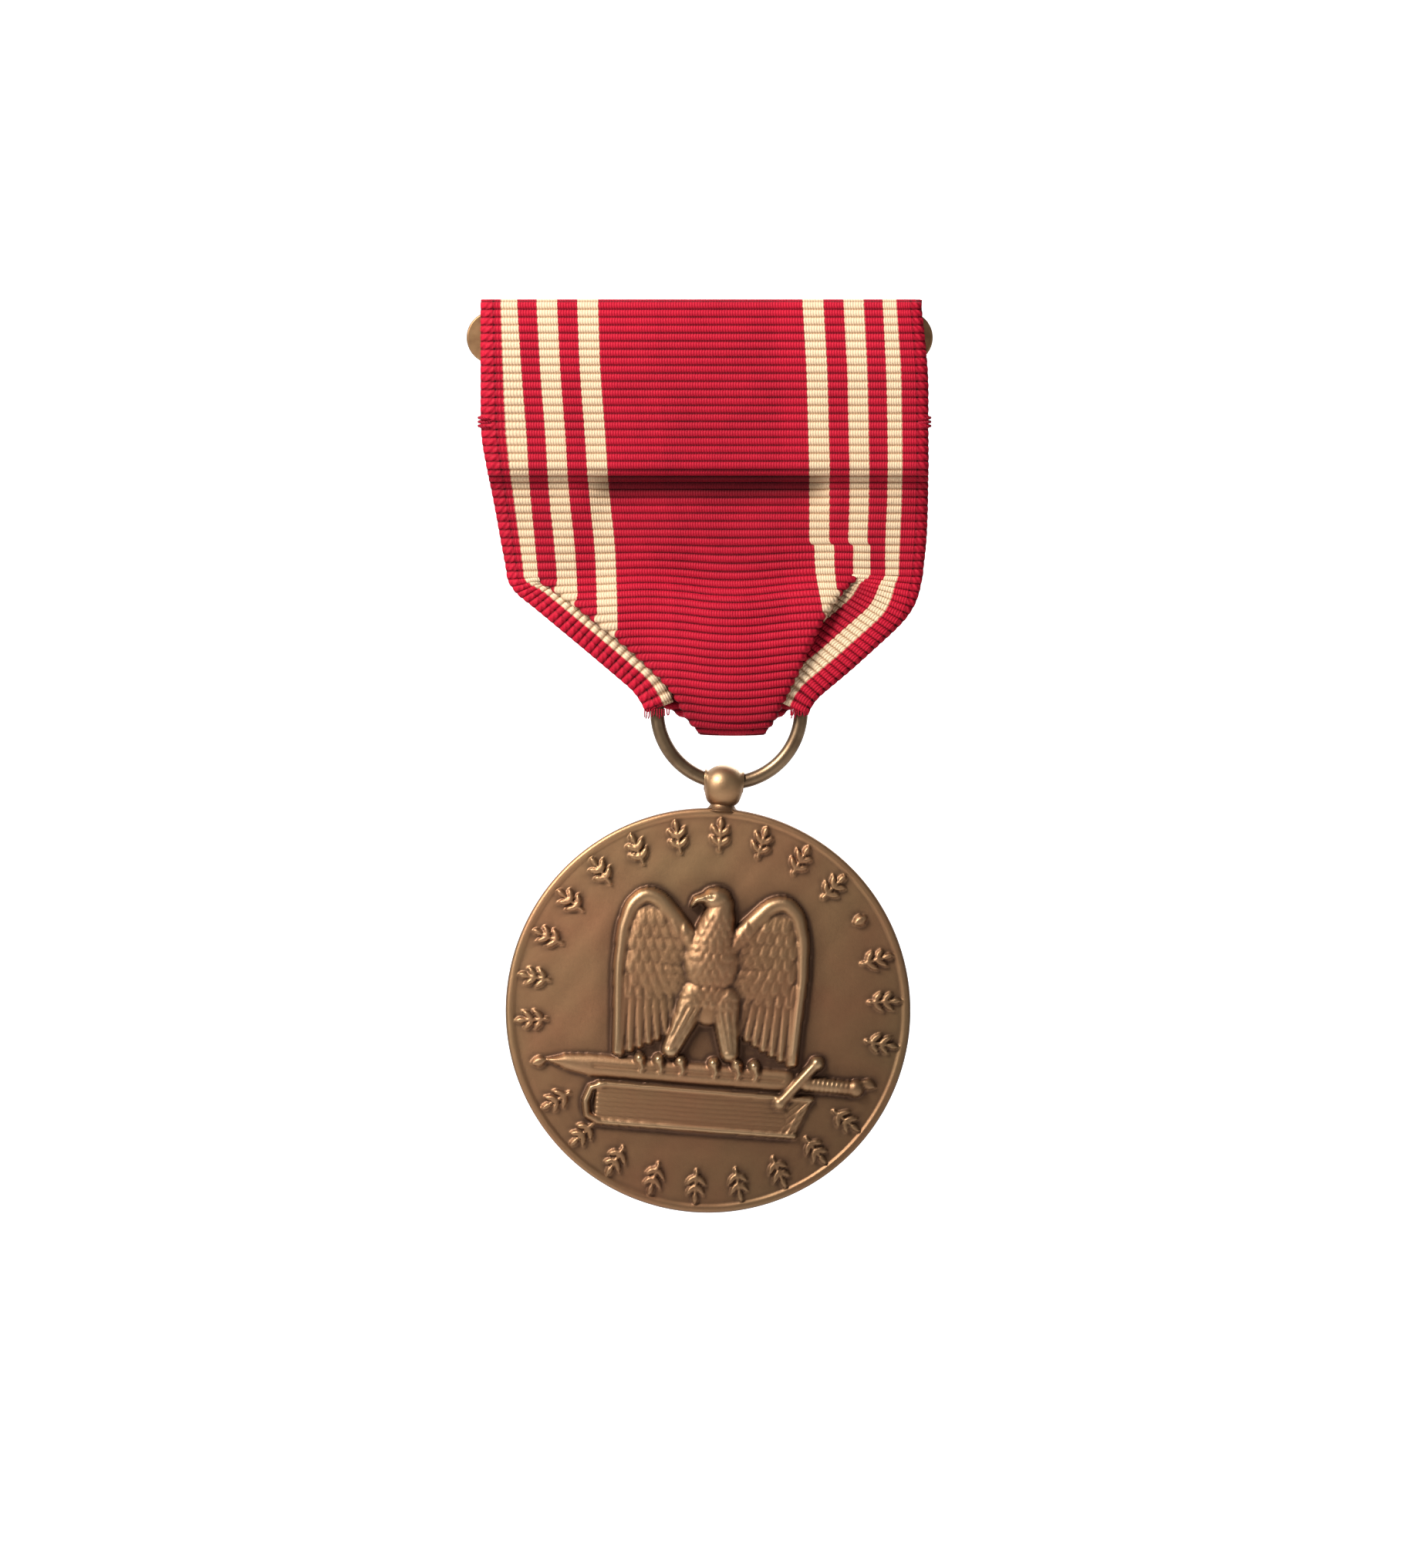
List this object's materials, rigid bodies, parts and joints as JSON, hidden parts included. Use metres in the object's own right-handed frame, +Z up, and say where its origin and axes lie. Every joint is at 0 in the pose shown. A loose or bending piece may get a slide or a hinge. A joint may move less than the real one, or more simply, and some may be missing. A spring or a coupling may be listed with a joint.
{
  "type": "military service medal",
  "caption": "Round bronze service medal on a pleated striped ribbon, with a slotted brooch bar and safety pin to wear it.",
  "frame": {"origin": "middle of the closed pin, on the pin's axis", "axes": "+X along the pin from its hinge to its point, +Y towards the wearer, +Z up; the medal faces -Y"},
  "size_m": [0.0366, 0.0051, 0.0717],
  "materials": {
    "bronze": "toned bronze, satin",
    "medal_bronze": "dark patinated bronze, soft satin",
    "pin_metal": "drawn brass, lightly tarnished",
    "ribbon": "corded ribbon, crimson with cream stripes",
    "thread": "twisted sewing thread"
  },
  "bodies": {
    "brooch": {"brooch_frame": "bronze", "pin_hinge_block": "pin_metal", "pin_hinge_rivet": "pin_metal", "catch_housing": "pin_metal", "ribbon_front": "ribbon", "ribbon_tail": "ribbon", "ribbon_back": "ribbon", "ribbon_stitches": "thread"},
    "pin": {"pin_stem": "pin_metal"},
    "lock": {"catch_lock": "pin_metal"},
    "ribbon_end": {"ribbon_tip": "ribbon", "ribbon_pleat_left": "ribbon", "ribbon_pleat_right": "ribbon"},
    "ring": {"suspension_ring": "bronze"},
    "medal": {"suspension_ball": "medal_bronze", "medal_disc": "medal_bronze"}
  },
  "joints": [
    {"name": "ribbon_flex", "type": "hinge", "parent": "brooch", "child": "ribbon_end", "pos_m": [0, -0.00215, -0.0207], "axis": [1, 0, 0], "range_deg": [-40, 40]},
    {"name": "ring_turn", "type": "hinge", "parent": "ribbon_end", "child": "ring", "pos_m": [0.0023, -0.00215, -0.0277], "axis": [0, 1, 0], "range_deg": [-20, 20]},
    {"name": "medal_swing", "type": "hinge", "parent": "ring", "child": "medal", "pos_m": [0.00192, -0.00215, -0.0332], "axis": [0.9976, 0, -0.0698], "range_deg": [-100, 100]},
    {"name": "pin_swing", "type": "hinge", "parent": "brooch", "child": "pin", "pos_m": [-0.0145, 0, 0], "axis": [0, 0, 1], "range_deg": [0, 65]},
    {"name": "lock_turn", "type": "hinge", "parent": "brooch", "child": "lock", "pos_m": [0.0139, 0, 0], "axis": [1, 0, 0], "range_deg": [0, 100]}
  ]
}
